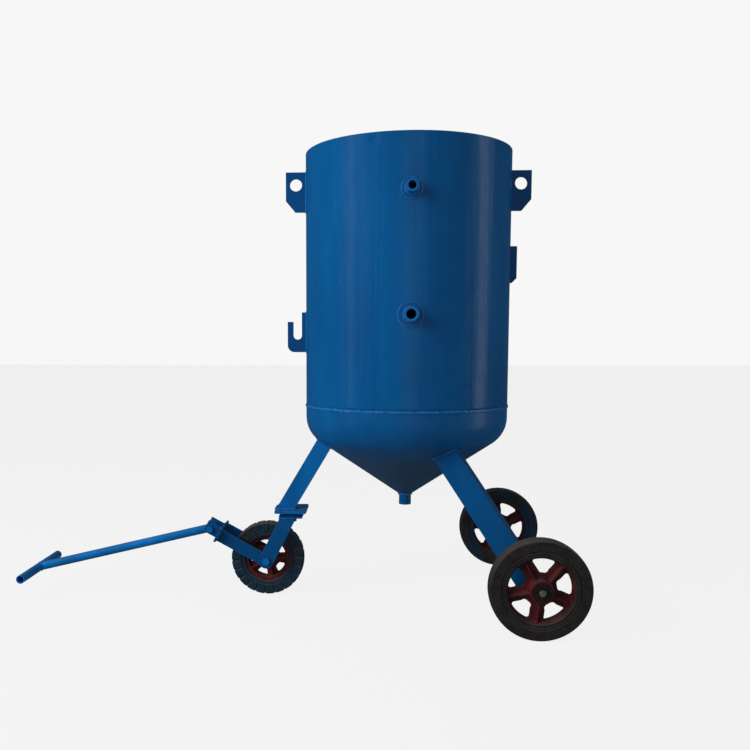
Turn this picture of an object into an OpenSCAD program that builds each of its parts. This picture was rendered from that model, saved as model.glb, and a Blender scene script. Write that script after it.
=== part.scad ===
// Mobile blast pot: an upright pressure vessel on two rear wheels and a front castor,
// with a hinged tow bar. Millimetres, Z up, ground at Z = 0, tow bar towards -X.
// Each module places its piece relative to the vessel's axis, and on_ground() then moves
// it so that the origin lies below the middle of the whole object.

/* [Vessel] */
// Outside diameter of the shell
tank_d = 700; // [696:1:704]
// Thickness of the shell and of both heads
wall = 6; // [5:0.5:8]
// Height of the rim above the ground
rim_z = 1540; // [1530:5:1600]
// Height of the girth weld between shell and bottom head
weld_z = 685; // [680:1:700]
// Outside radius of the bottom head's knuckle
knuckle_r = 105; // [95:1:115]
// Height of the bottom knuckle's centre
knuckle_z = 646; // [640:1:652]
// Slope of the bottom cone from the horizontal
cone_slope = 34; // [33:0.5:35]
// Outside diameter of the outlet pipe
outlet_d = 42.4; // [40:0.2:48]
// Height of the outlet pipe's lower end
outlet_z = 331; // [320:1:340]

/* [Filling head] */
// Height of the filling head's upper edge
hopper_z = 1510; // [1500:1:1520]
// Outside radius of the filling head's knuckle
hopper_knuckle_r = 60; // [55:1:65]
// Outside radius of the filling head's crown
crown_r = 600; // [590:5:620]
// Bore of the filling port
port_d = 100; // [96:1:104]
// Travel of the pop-up valve
popup_stroke = 30; // [20:1:32]

/* [Sockets] */
// Height of the upper threaded socket
upper_socket_z = 1370; // [1350:1:1375]
// Thread core diameter of the upper socket
upper_bore_d = 24.2; // [20:0.1:26]
// Outside diameter of the upper socket
upper_socket_d = 38.5; // [35:0.5:42]
// Height of the lower threaded socket
lower_socket_z = 989; // [960:1:1010]
// Thread core diameter of the lower socket
lower_bore_d = 30.3; // [28:0.1:32]
// Outside diameter of the lower socket
lower_socket_d = 44.5; // [42:0.5:48]
// How far both sockets stand out of the shell
socket_out = 52; // [40:1:60]

/* [Lugs and brackets] */
// How far a lifting lug stands out of the shell
lug_out = 70; // [64:1:76]
// Diameter of a lifting lug's eye
lug_eye_d = 42; // [36:1:44]
// Thickness of a lifting lug
lug_t = 12; // [10:1:16]
// How far the hose hook stands out of the shell
hook_out = 66; // [62:1:70]
// Width of the hose hook's slot
hook_slot = 30; // [26:1:32]

/* [Legs] */
// Side of the front leg's square tube
front_leg_w = 57; // [50:1:60]
// Depth of a rear leg's tube, across the leg in the plane it leans in
rear_leg_t = 78; // [74:1:82]
// Width of a rear leg's tube
rear_leg_w = 40; // [36:1:42]
// Wall of all three leg tubes
leg_wall = 4; // [3:0.5:5]

/* [Rear wheels] */
// Diameter of the rear wheels
rear_d = 313; // [304:1:316]
// Distance between the middles of the rear tyres
track = 878; // [866:1:886]
// Distance from the vessel's axis to the rear axle
rear_x = 396; // [392:1:398]
// Width of the rear tyres
rear_tyre_w = 60; // [50:1:64]
// Diameter of the axle between the wheels
axle_d = 25; // [25:1:26]

/* [Castor] */
// Diameter of the front wheel
front_d = 262; // [256:1:266]
// Width of the front tyre
front_tyre_w = 56; // [50:1:60]
// Distance from the vessel's axis forward to the kingpin
kingpin_x = 405; // [403:1:407]
// Distance from the kingpin forward to the front axle
castor_lead = 86; // [84:1:88]
// Height of the castor plate's upper face
castor_z = 313; // [311:1:315]

/* [Hitch and tow bar] */
// Upward slope of the drawbar arms
arm_slope = 28.5; // [27:0.5:31]
// Length of the arms from the front axle to the cross plate
arm_length = 190; // [186:1:196]
// Downward slope of the tow bar at rest
bar_slope = 13.5; // [13:0.5:15]
// Length of the tow bar from its hinge to the handle
bar_length = 658; // [600:2:700]
// Diameter of the tow bar's tubes
bar_d = 30; // [27:1:32]
// Length of the tow bar's handle
handle_length = 350; // [300:5:380]

/* [Hidden] */
$fn = 96;

// Colours
enamel = "#0a4a8f";
enamel_light = "#1560b0";
rubber_black = "#26252a";
casting = "#5a2226";
bare_steel = "#8d8a84";

// Vessel
tank_r = tank_d / 2;
inner_r = tank_r - wall;
knuckle_x = tank_r - knuckle_r;
outlet_bore_d = outlet_d - 7.4;
hopper_knuckle_z = hopper_z - 25;
hopper_knuckle_x = inner_r - hopper_knuckle_r;
crown_z = hopper_knuckle_z + sqrt(pow(crown_r - hopper_knuckle_r, 2) - pow(hopper_knuckle_x, 2));

// Filling port and pop-up valve
port_ring_d = port_d + 24;
port_low_z = crown_z - crown_r - 10;
port_high_z = port_low_z + 40;
seal_d = port_d + 16;
seal_bore_d = port_d - 8;
seal_low_z = port_low_z + 2;
seal_t = 10;
cone_base_r = seal_bore_d / 2 + 12;
cone_tip_r = 12;
cone_h = 30;
cone_lip = 6;
cone_seat_h = cone_h * (cone_base_r - seal_bore_d / 2) / (cone_base_r - cone_tip_r);
seat_gap = 0.5;
popup_z = seal_low_z - cone_seat_h - seat_gap - popup_stroke;
pipe_d = 33.7;
pipe_bore_d = 26.9;
stem_gap = 0.05;
stem_length = 150;
bend_r = 38;
rest_gap = 0.5;

// Running clearance on a radius, and the gap between faces that turn past each other
running = 0.05;
turn_gap = 0.3;

// Rear axle and wheels
rear_r = rear_d / 2;
wheel_y = track / 2;
hub_half = 41;
rear_hub_r = 37;
rear_web_r = 52;
rear_rim_r = 104;
rear_window_r = 98;
rear_spoke_w = 40;
rear_bearing = [52, 15];
journal_d = 20;
axle_half = wheel_y + 55;

// Legs
front_foot_x = -425.5;
front_lean = 30.6;
rear_foot_x = 390;
rear_foot_y = 349;
foot_z = 140;
rear_heading = 23;
rear_lean = 35.75;
foot_plate_t = 10;

// Castor
front_r = front_d / 2;
front_x = -(kingpin_x + castor_lead);
castor_plate_t = 10;
bearing_h = 10;
crown_t = 10;
crown_low_z = castor_z - castor_plate_t - bearing_h - crown_t;
kingpin_d = 20;
fork_rake = 26.6;
fork_w = 52;
plate_t = 8;
arm_inner = 52;
fork_inner = arm_inner + plate_t;
fork_outer = fork_inner + plate_t;
fork_top_inner = 44;
bend_z = 242;
bolt_d = 16;
front_hub_half = 42;
front_hub_r = 30;
front_web_r = 43;
front_rim_r = 82;
front_window_r = 66;
front_spoke_w = 34;
front_bearing = [47, 14];
sleeve_d = 20;

// Hitch, with the hinge ahead of the cross plate
arm_h = 44;
hitch_half = 88;
cheek_inner = 25;
cheek_length = 52;
hinge_ahead = 33;
hinge_reach = arm_length + plate_t + hinge_ahead;
hinge_drop = 5;
hinge_x = front_x - hinge_reach * cos(arm_slope) - hinge_drop * sin(arm_slope);
hinge_z = front_r + hinge_reach * sin(arm_slope) - hinge_drop * cos(arm_slope);
eye_d = 36;
bar_wall = 3;

// Distance from the vessel's axis to the middle of the object, between handle and rear tyres
handle_x = hinge_x - bar_length * cos(bar_slope);
ground_x = -(handle_x - bar_d / 2 + rear_x + rear_r) / 2;

// ---- Helpers ----

module on_ground() {
    translate([ground_x, 0, 0])
        children();
}

module ring(outer_d, bore, height) {
    difference() {
        cylinder(d = outer_d, h = height, center = true);
        cylinder(d = bore, h = height + 2, center = true);
    }
}

// Turns a shape made about +Z so that it lies about -Y
module lie_along_y() {
    rotate([90, 0, 0])
        children();
}

// A flat plate standing in the XZ plane
module side_plate(thickness) {
    rotate([90, 0, 0])
        linear_extrude(height = thickness, center = true)
            children();
}

module both_sides() {
    children();
    mirror([0, 1, 0])
        children();
}

module rect_tube(depth, width, length) {
    difference() {
        translate([-depth / 2, -width / 2, 0])
            cube([depth, width, length]);
        translate([leg_wall - depth / 2, leg_wall - width / 2, -1])
            cube([depth - 2 * leg_wall, width - 2 * leg_wall, length + 2]);
    }
}

module hex(across_flats, height) {
    cylinder(d = across_flats / cos(30), h = height, center = true, $fn = 6);
}

// ---- Vessel ----

// The bottom head's solid of revolution, moved in by inset, reaching up to top_z
module bottom_head_solid(inset, top_z) {
    radius = knuckle_r - inset;
    tangent = [knuckle_x + radius * sin(cone_slope), knuckle_z - radius * cos(cone_slope)];
    rotate_extrude()
        intersection() {
            square([tank_r, top_z]);
            union() {
                translate([knuckle_x, knuckle_z])
                    circle(radius);
                polygon([
                    [0, top_z],
                    [tank_r - inset, top_z],
                    [tank_r - inset, knuckle_z],
                    tangent,
                    [0, tangent.y - tangent.x * tan(cone_slope)],
                ]);
            }
        }
}

// The filling head's solid of revolution: a straight edge, a knuckle and a crown that hangs down
module top_head_solid(inset, top_z) {
    crown_radius = crown_r - inset;
    crown_edge = hopper_knuckle_x * crown_radius / (crown_r - hopper_knuckle_r);
    rotate_extrude()
        intersection() {
            square([inner_r, top_z]);
            union() {
                translate([0, hopper_knuckle_z])
                    square([inner_r - inset, hopper_z]);
                translate([hopper_knuckle_x, hopper_knuckle_z])
                    circle(hopper_knuckle_r - inset);
                intersection() {
                    translate([0, crown_z])
                        circle(crown_radius);
                    square([crown_edge, top_z]);
                }
            }
        }
}

module shell() {
    color(enamel)
        difference() {
            translate([0, 0, weld_z])
                cylinder(r = tank_r, h = rim_z - weld_z);
            translate([0, 0, weld_z - 1])
                cylinder(r = inner_r, h = rim_z - weld_z + 2);
            translate([0, -tank_r, upper_socket_z])
                lie_along_y()
                    cylinder(d = upper_bore_d + 2, h = 100, center = true);
            translate([0, -tank_r, lower_socket_z])
                lie_along_y()
                    cylinder(d = lower_bore_d + 2, h = 100, center = true);
        }
}

module girth_weld() {
    bead_r = 7;
    color(enamel_light)
        rotate_extrude()
            intersection() {
                translate([tank_r - 4, weld_z])
                    circle(bead_r);
                translate([tank_r, weld_z - bead_r])
                    square([bead_r, 2 * bead_r]);
            }
}

module bottom_head() {
    color(enamel)
        difference() {
            bottom_head_solid(0, weld_z);
            bottom_head_solid(wall, weld_z + 1);
            cylinder(d = outlet_bore_d, h = knuckle_z);
        }
}

// A pipe set on the cone, whose upper end follows the cone's outside
module outlet_pipe() {
    color(enamel)
        difference() {
            translate([0, 0, outlet_z])
                cylinder(d = outlet_d, h = 60);
            translate([0, 0, outlet_z - 1])
                cylinder(d = outlet_bore_d, h = 100);
            bottom_head_solid(0, weld_z);
        }
}

module top_head() {
    color(enamel)
        difference() {
            top_head_solid(0, hopper_z);
            top_head_solid(wall, hopper_z + 1);
            translate([0, 0, port_low_z - 1])
                cylinder(d = port_ring_d, h = 60);
        }
}

module port_ring() {
    color(enamel)
        difference() {
            translate([0, 0, port_low_z])
                cylinder(d = port_ring_d, h = port_high_z - port_low_z);
            translate([0, 0, port_low_z - 1])
                cylinder(d = port_d, h = port_high_z - port_low_z + 2);
            translate([0, 0, port_low_z - 1])
                cylinder(d = seal_d, h = seal_low_z - port_low_z + seal_t + 1);
        }
}

module port_seal() {
    color(rubber_black)
        translate([0, 0, seal_low_z + seal_t / 2])
            ring(seal_d, seal_bore_d, seal_t);
}

module socket(height, outer_d, bore) {
    mouth = 1.5;
    color(enamel)
        difference() {
            translate([0, -tank_r + 20, height])
                lie_along_y()
                    cylinder(d = outer_d, h = socket_out + 20);
            translate([0, -tank_r + 30, height])
                lie_along_y()
                    cylinder(d = bore, h = socket_out + 40);
            translate([0, -tank_r - socket_out + mouth, height])
                lie_along_y()
                    cylinder(d1 = bore, d2 = bore + 4 * mouth, h = 2 * mouth);
            translate([0, 0, height])
                cylinder(r = tank_r, h = 2 * outer_d, center = true);
        }
}

module socket_pad(height, socket_d, pad_d) {
    pad_t = 4;
    color(enamel)
        intersection() {
            translate([0, -tank_r, height])
                lie_along_y()
                    ring(pad_d, socket_d, 60);
            translate([0, 0, height])
                ring(tank_d + 2 * pad_t, tank_d, 2 * pad_d);
        }
}

module inlet_pipe() {
    color(bare_steel)
        intersection() {
            translate([0, -(tank_r + bend_r) / 2, lower_socket_z])
                lie_along_y()
                    ring(pipe_d, pipe_bore_d, tank_r - bend_r);
            translate([0, 0, lower_socket_z])
                cylinder(r = inner_r, h = 2 * pipe_d, center = true);
        }
}

module inlet_elbow() {
    color(bare_steel)
        translate([0, -bend_r, lower_socket_z + bend_r])
            rotate([90, 0, 90])
                rotate([0, 0, -90])
                    rotate_extrude(angle = 90)
                        translate([bend_r, 0])
                            difference() {
                                circle(d = pipe_d);
                                circle(d = pipe_bore_d);
                            }
}

module riser_pipe() {
    low_z = lower_socket_z + bend_r;
    high_z = popup_z - cone_lip - rest_gap;
    color(bare_steel)
        translate([0, 0, (low_z + high_z) / 2])
            ring(pipe_d, pipe_bore_d, high_z - low_z);
}

module popup_cone() {
    color(rubber_black)
        translate([0, 0, popup_z]) {
            cylinder(r1 = cone_base_r, r2 = cone_tip_r, h = cone_h);
            translate([0, 0, -cone_lip])
                cylinder(r = cone_base_r, h = cone_lip);
        }
}

module popup_stem() {
    air_hole_d = 12;
    color(bare_steel)
        translate([0, 0, popup_z - cone_lip - stem_length])
            difference() {
                cylinder(d = pipe_bore_d - 2 * stem_gap, h = stem_length);
                translate([0, 0, -1])
                    cylinder(d = 18, h = stem_length - 4);
                for (turn = [0, 90])
                    translate([0, 0, stem_length - 14])
                        rotate([90, 0, turn])
                            cylinder(d = air_hole_d, h = pipe_d, center = true);
            }
}

// ---- Lugs and brackets ----

module lug() {
    low_z = 1351;
    high_z = 1486;
    eye_z = 1443;
    chamfer = [32, 38];
    color(enamel)
        difference() {
            side_plate(lug_t)
                difference() {
                    polygon([
                        [tank_r - wall, low_z],
                        [tank_r + lug_out - chamfer.x, low_z],
                        [tank_r + lug_out, low_z + chamfer.y],
                        [tank_r + lug_out, high_z],
                        [tank_r - wall, high_z],
                    ]);
                    translate([tank_r + lug_out / 2, eye_z])
                        circle(d = lug_eye_d);
                }
            cylinder(r = tank_r, h = rim_z);
        }
}

module hose_hook() {
    low_z = 869;
    slot_low_z = 913;
    prong_z = 975;
    back_z = 1008;
    back_w = 16;
    corner_r = 24;
    slot_x = tank_r + back_w;
    hook_t = 10;
    color(enamel)
        mirror([1, 0, 0])
            difference() {
                side_plate(hook_t)
                    difference() {
                        union() {
                            translate([tank_r - wall, low_z])
                                square([wall + back_w, back_z - low_z]);
                            translate([tank_r - wall, low_z])
                                square([wall + hook_out - corner_r, prong_z - low_z]);
                            translate([tank_r - wall, low_z + corner_r])
                                square([wall + hook_out, prong_z - low_z - corner_r]);
                            translate([tank_r + hook_out - corner_r, low_z + corner_r])
                                circle(corner_r);
                        }
                        translate([slot_x, slot_low_z + hook_slot / 2])
                            square([hook_slot, back_z - slot_low_z]);
                        translate([slot_x + hook_slot / 2, slot_low_z + hook_slot / 2])
                            circle(d = hook_slot);
                    }
                cylinder(r = tank_r, h = rim_z);
            }
}

module pipe_bracket() {
    low_z = 1107;
    high_z = 1232;
    bracket_out = 26;
    chamfer = 16;
    bracket_t = 10;
    color(enamel)
        difference() {
            side_plate(bracket_t)
                polygon([
                    [tank_r - wall, low_z],
                    [tank_r + bracket_out - chamfer, low_z],
                    [tank_r + bracket_out, low_z + chamfer],
                    [tank_r + bracket_out, high_z],
                    [tank_r - wall, high_z],
                ]);
            cylinder(r = tank_r, h = rim_z);
        }
}

// ---- Legs and rear axle ----

module front_leg() {
    buried = 80;
    color(enamel_light)
        difference() {
            translate([front_foot_x, 0, castor_z])
                rotate([0, front_lean, 0])
                    translate([0, 0, -buried])
                        rect_tube(front_leg_w, front_leg_w, 460);
            bottom_head_solid(0, weld_z);
            translate([front_foot_x, 0, castor_z - buried])
                cube([200, 200, 2 * buried], center = true);
        }
}

module on_rear_foot() {
    translate([rear_foot_x, -rear_foot_y, foot_z])
        rotate([0, 0, -rear_heading])
            children();
}

module rear_leg() {
    buried = 120;
    color(enamel)
        difference() {
            on_rear_foot()
                rotate([0, -rear_lean, 0])
                    translate([0, 0, -buried])
                        rect_tube(rear_leg_t, rear_leg_w, 660);
            bottom_head_solid(0, weld_z);
            translate([rear_foot_x, -rear_foot_y, foot_z - buried])
                cube([400, 400, 2 * buried], center = true);
            translate([rear_x, -rear_foot_y, rear_r])
                lie_along_y()
                    cylinder(d = axle_d, h = 200, center = true);
        }
}

module rear_foot_plates() {
    length = rear_leg_t / cos(rear_lean) + 4;
    color(bare_steel)
        both_sides()
            on_rear_foot()
                translate([0, 0, -foot_plate_t / 2])
                    cube([length, rear_leg_w + 4, foot_plate_t], center = true);
}

module rear_axle() {
    chamfer = 2;
    shoulder = wheel_y - hub_half - 1;
    color(bare_steel)
        translate([rear_x, 0, rear_r])
            lie_along_y() {
                cylinder(d = axle_d, h = 2 * shoulder, center = true);
                cylinder(d = journal_d, h = 2 * (axle_half - chamfer), center = true);
                for (side = [0, 180])
                    rotate([side, 0, 0])
                        translate([0, 0, axle_half - chamfer])
                            cylinder(d1 = journal_d, d2 = journal_d - 2 * chamfer, h = chamfer);
            }
}

module axle_washers() {
    thickness = 3;
    color(bare_steel)
        both_sides()
            translate([rear_x, -(wheel_y + hub_half + 1 + thickness / 2), rear_r])
                lie_along_y()
                    ring(60, journal_d, thickness);
}

module axle_rings() {
    thickness = 2;
    color(bare_steel)
        both_sides()
            translate([rear_x, -(wheel_y + hub_half + 4 + thickness / 2), rear_r])
                lie_along_y()
                    difference() {
                        ring(30, journal_d, thickness);
                        translate([0, -journal_d, 0])
                            cube([6, 2 * journal_d, 2 * thickness], center = true);
                    }
}

// ---- Wheels ----

// A five-spoke casting about Z: hub, web round the hub, rim ring, and ribbed spokes
module spoked_rim(rim_r, rim_w, window_r, web_r, hub_r, half_hub, spoke_w, bearing, phase) {
    rib_t = 9;
    web_t = 12;
    bite = 4;
    reach = window_r - hub_r + 2 * bite;
    color(casting)
        difference() {
            union() {
                cylinder(r = hub_r, h = 2 * half_hub, center = true);
                cylinder(r = web_r, h = web_t + 4, center = true);
                ring(2 * rim_r, 2 * window_r, rim_w);
                for (turn = [0 : 72 : 288])
                    rotate(phase + turn)
                        translate([hub_r - bite + reach / 2, 0, 0]) {
                            cube([reach, spoke_w, web_t], center = true);
                            cube([reach, rib_t, rim_w - 6], center = true);
                        }
            }
            cylinder(d = bearing[0] - 10, h = 2 * half_hub + 2, center = true);
            for (side = [-1, 1])
                translate([0, 0, side * half_hub])
                    cylinder(d = bearing[0], h = 2 * bearing[1], center = true);
        }
}

// A solid tyre about Z: nearly flat tread, chamfered shoulders and a ring groove in each side
module solid_tyre(outer_r, rim_r, width, groove_r) {
    tread_r = 4 * width;
    shoulder = 4;
    groove_w = 3;
    groove_h = 2;
    color(rubber_black)
        rotate_extrude()
            difference() {
                intersection() {
                    polygon([
                        [rim_r, -width / 2],
                        [outer_r - shoulder, -width / 2],
                        [outer_r, shoulder - width / 2],
                        [outer_r, width / 2 - shoulder],
                        [outer_r - shoulder, width / 2],
                        [rim_r, width / 2],
                    ]);
                    translate([outer_r - tread_r, 0])
                        circle(tread_r);
                }
                for (side = [-1, 1])
                    translate([groove_r, side * width / 2])
                        square([groove_w, 2 * groove_h], center = true);
            }
}

module bearing_pair(outer_d, bore, width, half_hub) {
    color(bare_steel)
        for (side = [-1, 1])
            translate([0, 0, side * (half_hub - width / 2)])
                ring(outer_d, bore, width);
}

// side is -1 for the wheel on the left of the pot and 1 for the other
module on_rear_axle(side) {
    translate([rear_x, side * wheel_y, rear_r])
        lie_along_y()
            children();
}

module rear_rim(side) {
    phase = side < 0 ? -24 : 28;
    on_rear_axle(side)
        spoked_rim(rear_rim_r, rear_tyre_w - 16, rear_window_r, rear_web_r, rear_hub_r, hub_half,
            rear_spoke_w, rear_bearing, phase);
}

module rear_tyre(side) {
    on_rear_axle(side)
        solid_tyre(rear_r, rear_rim_r, rear_tyre_w, 118);
}

module rear_bearings(side) {
    on_rear_axle(side)
        bearing_pair(rear_bearing[0], journal_d + 2 * running, rear_bearing[1], hub_half);
}

module on_front_axle() {
    translate([front_x, 0, front_r])
        lie_along_y()
            children();
}

module front_rim() {
    on_front_axle()
        spoked_rim(front_rim_r, front_tyre_w - 14, front_window_r, front_web_r, front_hub_r, front_hub_half,
            front_spoke_w, front_bearing, -2);
}

module front_tyre() {
    on_front_axle()
        solid_tyre(front_r, front_rim_r, front_tyre_w, 92);
}

module front_bearings() {
    on_front_axle()
        bearing_pair(front_bearing[0], sleeve_d + 2 * running, front_bearing[1], front_hub_half);
}

// ---- Castor ----

module castor_plate() {
    corner_r = 8;
    half = [55.5, 70];
    color(enamel)
        translate([-kingpin_x, 0, castor_z - castor_plate_t])
            difference() {
                union() {
                    translate([-half.x + corner_r, -half.y, 0])
                        cube([2 * (half.x - corner_r), 2 * half.y, castor_plate_t]);
                    translate([-half.x, -half.y + corner_r, 0])
                        cube([2 * half.x, 2 * (half.y - corner_r), castor_plate_t]);
                    for (sx = [-1, 1], sy = [-1, 1])
                        translate([sx * (half.x - corner_r), sy * (half.y - corner_r), 0])
                            cylinder(r = corner_r, h = castor_plate_t);
                }
                cylinder(d = kingpin_d, h = 3 * castor_plate_t, center = true);
            }
}

module kingpin() {
    length = 52;
    color(bare_steel)
        translate([-kingpin_x, 0, castor_z - length])
            cylinder(d = kingpin_d, h = length);
}

module kingpin_washer() {
    thickness = 3;
    color(bare_steel)
        translate([-kingpin_x, 0, crown_low_z - turn_gap - thickness / 2])
            ring(37, kingpin_d, thickness);
}

module kingpin_nut() {
    height = 16;
    color(bare_steel)
        translate([-kingpin_x, 0, crown_low_z - turn_gap - 3 - height / 2])
            difference() {
                hex(30, height);
                cylinder(d = kingpin_d, h = 2 * height, center = true);
            }
}

module thrust_bearing() {
    low_r = 42;
    high_r = 50;
    color(enamel)
        translate([-kingpin_x, 0, crown_low_z + crown_t])
            difference() {
                cylinder(r1 = low_r, r2 = high_r, h = bearing_h - turn_gap);
                cylinder(d = kingpin_d + 2 * running, h = 3 * bearing_h, center = true);
            }
}

module fork_crown() {
    color(enamel)
        translate([-kingpin_x, 0, crown_low_z])
            difference() {
                translate([-41, -(fork_top_inner + plate_t), 0])
                    cube([82, 2 * (fork_top_inner + plate_t), crown_t]);
                cylinder(d = kingpin_d + 2 * running, h = 3 * crown_t, center = true);
            }
}

// The fork leg at -Y: a raked strip with a round end, bent outwards below the crown
module fork_leg() {
    reach = 220;
    low_z = front_r - fork_w;
    color(enamel)
        difference() {
            intersection() {
                side_plate(4 * fork_outer)
                    translate([front_x, front_r]) {
                        rotate(-fork_rake)
                            translate([-fork_w / 2, 0])
                                square([fork_w, reach]);
                        circle(d = fork_w);
                    }
                translate([front_x, 0, 0])
                    rotate([90, 0, 90])
                        linear_extrude(height = 4 * fork_w, center = true)
                            polygon([
                                [-fork_top_inner, crown_low_z],
                                [-fork_inner, bend_z],
                                [-fork_inner, low_z],
                                [-fork_outer, low_z],
                                [-fork_outer, bend_z],
                                [-fork_top_inner - plate_t, crown_low_z],
                            ]);
            }
            on_front_axle()
                cylinder(d = bolt_d, h = 4 * fork_outer, center = true);
        }
}

module axle_bolt() {
    head_h = 10;
    thread_out = 18;
    color(bare_steel)
        on_front_axle() {
            translate([0, 0, fork_outer + head_h / 2])
                hex(24, head_h);
            translate([0, 0, -fork_outer - thread_out])
                cylinder(d = bolt_d, h = 2 * fork_outer + thread_out);
        }
}

module axle_nut() {
    height = 13;
    color(bare_steel)
        on_front_axle()
            translate([0, 0, -fork_outer - height / 2])
                difference() {
                    hex(24, height);
                    cylinder(d = bolt_d, h = 2 * height, center = true);
                }
}

module axle_sleeve() {
    color(bare_steel)
        on_front_axle()
            ring(sleeve_d, bolt_d, 2 * arm_inner);
}

module axle_spacers() {
    length = arm_inner - front_hub_half - 0.5;
    color(bare_steel)
        on_front_axle()
            for (side = [-1, 1])
                translate([0, 0, side * (arm_inner - length / 2)])
                    ring(28, sleeve_d, length);
}

// ---- Hitch ----

// In this frame the front axle is at the origin and the arms run along -X
module on_arms() {
    translate([front_x, 0, front_r])
        rotate([0, arm_slope, 0])
            children();
}

// The same directions, with the tow bar's hinge at the origin
module on_hinge() {
    translate([hinge_x, 0, hinge_z])
        rotate([0, arm_slope, 0])
            children();
}

module drawbar_arm() {
    color(enamel)
        on_arms()
            translate([0, -(arm_inner + plate_t / 2), 0])
                difference() {
                    union() {
                        translate([-arm_length, -plate_t / 2, -arm_h / 2])
                            cube([arm_length, plate_t, arm_h]);
                        lie_along_y()
                            cylinder(d = arm_h, h = plate_t, center = true);
                    }
                    lie_along_y()
                        cylinder(d = bolt_d, h = 2 * plate_t, center = true);
                }
}

module hitch_plate() {
    color(enamel)
        on_arms()
            translate([-arm_length - plate_t, -hitch_half, -arm_h / 2])
                cube([plate_t, 2 * hitch_half, arm_h]);
}

module clevis_cheeks() {
    chamfer = 10;
    low_z = hinge_drop - arm_h / 2;
    color(enamel)
        on_hinge()
            both_sides()
                translate([0, -(cheek_inner + plate_t / 2), 0])
                    side_plate(plate_t)
                        difference() {
                            polygon([
                                [hinge_ahead, low_z],
                                [hinge_ahead, low_z + arm_h],
                                [hinge_ahead - cheek_length, low_z + arm_h],
                                [hinge_ahead - cheek_length, low_z + chamfer],
                                [hinge_ahead - cheek_length + chamfer, low_z],
                            ]);
                            circle(d = bolt_d);
                        }
}

module hinge_bolt() {
    head_h = 10;
    thread_out = 18;
    cheek_outer = cheek_inner + plate_t;
    color(bare_steel)
        on_hinge()
            lie_along_y() {
                translate([0, 0, cheek_outer + head_h / 2])
                    cylinder(d = 24, h = head_h, center = true);
                translate([0, 0, -cheek_outer - thread_out])
                    cylinder(d = bolt_d, h = 2 * cheek_outer + thread_out);
            }
}

module hinge_nut() {
    height = 13;
    color(bare_steel)
        on_hinge()
            lie_along_y()
                translate([0, 0, -(cheek_inner + plate_t) - height / 2])
                    difference() {
                        hex(24, height);
                        cylinder(d = bolt_d, h = 2 * height, center = true);
                    }
}

// ---- Tow bar ----

// In this frame the hinge is at the origin and the bar runs along -X
module on_bar() {
    translate([hinge_x, 0, hinge_z])
        rotate([0, -bar_slope, 0])
            children();
}

// The eye turns on the hinge bolt, and its heel meets the cross plate when the bar is down
module tow_eye() {
    eye_half = cheek_inner - 0.5;
    heel_t = 12;
    heel_x = hinge_ahead - turn_gap;
    color(enamel)
        on_hinge()
            difference() {
                union() {
                    lie_along_y()
                        cylinder(d = eye_d, h = 2 * eye_half, center = true);
                    side_plate(heel_t)
                        polygon([
                            [0, -7],
                            [heel_x, -5],
                            [heel_x, -16],
                            [6, -17],
                        ]);
                }
                lie_along_y()
                    cylinder(d = bolt_d + 2 * running, h = 4 * eye_half, center = true);
            }
}

module tow_tube() {
    color(enamel_light)
        on_bar()
            difference() {
                translate([-bar_length, 0, 0])
                    rotate([0, 90, 0])
                        difference() {
                            cylinder(d = bar_d, h = bar_length);
                            translate([0, 0, -1])
                                cylinder(d = bar_d - 2 * bar_wall, h = bar_length + 2);
                        }
                lie_along_y()
                    cylinder(d = eye_d, h = 2 * bar_d, center = true);
                translate([-bar_length, 0, 0])
                    lie_along_y()
                        cylinder(d = bar_d, h = 2 * bar_d, center = true);
            }
}

module tow_handle() {
    color(enamel)
        on_bar()
            translate([-bar_length, 0, 0])
                lie_along_y()
                    ring(bar_d, bar_d - 2 * bar_wall, handle_length);
}

// ---- Vessel and frame ----
on_ground() shell();
on_ground() girth_weld();
on_ground() bottom_head();
on_ground() outlet_pipe();
on_ground() top_head();
on_ground() port_ring();
on_ground() port_seal();
on_ground() socket(upper_socket_z, upper_socket_d, upper_bore_d);  // upper_socket
on_ground() socket_pad(upper_socket_z, upper_socket_d, 62);  // upper_socket_pad
on_ground() socket(lower_socket_z, lower_socket_d, lower_bore_d);  // lower_socket
on_ground() socket_pad(lower_socket_z, lower_socket_d, 77);  // lower_socket_pad
on_ground() inlet_pipe();
on_ground() inlet_elbow();
on_ground() riser_pipe();
on_ground() mirror([1, 0, 0]) lug();  // lug_left
on_ground() lug();  // lug_right
on_ground() hose_hook();
on_ground() pipe_bracket();
on_ground() front_leg();
on_ground() rear_leg();  // rear_leg_left
on_ground() mirror([0, 1, 0]) rear_leg();  // rear_leg_right
on_ground() rear_foot_plates();
on_ground() castor_plate();
on_ground() kingpin();
on_ground() kingpin_washer();
on_ground() kingpin_nut();
on_ground() rear_axle();
on_ground() axle_washers();
on_ground() axle_rings();
// ---- Pop-up valve ----
on_ground() popup_cone();
on_ground() popup_stem();
// ---- Castor and hitch ----
on_ground() thrust_bearing();
on_ground() fork_crown();
on_ground() fork_leg();  // fork_leg_left
on_ground() mirror([0, 1, 0]) fork_leg();  // fork_leg_right
on_ground() axle_bolt();
on_ground() axle_nut();
on_ground() axle_sleeve();
on_ground() axle_spacers();
on_ground() drawbar_arm();  // drawbar_arm_left
on_ground() mirror([0, 1, 0]) drawbar_arm();  // drawbar_arm_right
on_ground() hitch_plate();
on_ground() clevis_cheeks();
on_ground() hinge_bolt();
on_ground() hinge_nut();
// ---- Wheels ----
on_ground() front_rim();
on_ground() front_tyre();
on_ground() front_bearings();
on_ground() rear_rim(-1);  // rear_rim_left
on_ground() rear_tyre(-1);  // rear_tyre_left
on_ground() rear_bearings(-1);  // rear_bearings_left
on_ground() rear_rim(1);  // rear_rim_right
on_ground() rear_tyre(1);  // rear_tyre_right
on_ground() rear_bearings(1);  // rear_bearings_right
// ---- Tow bar ----
on_ground() tow_eye();
on_ground() tow_tube();
on_ground() tow_handle();
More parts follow.
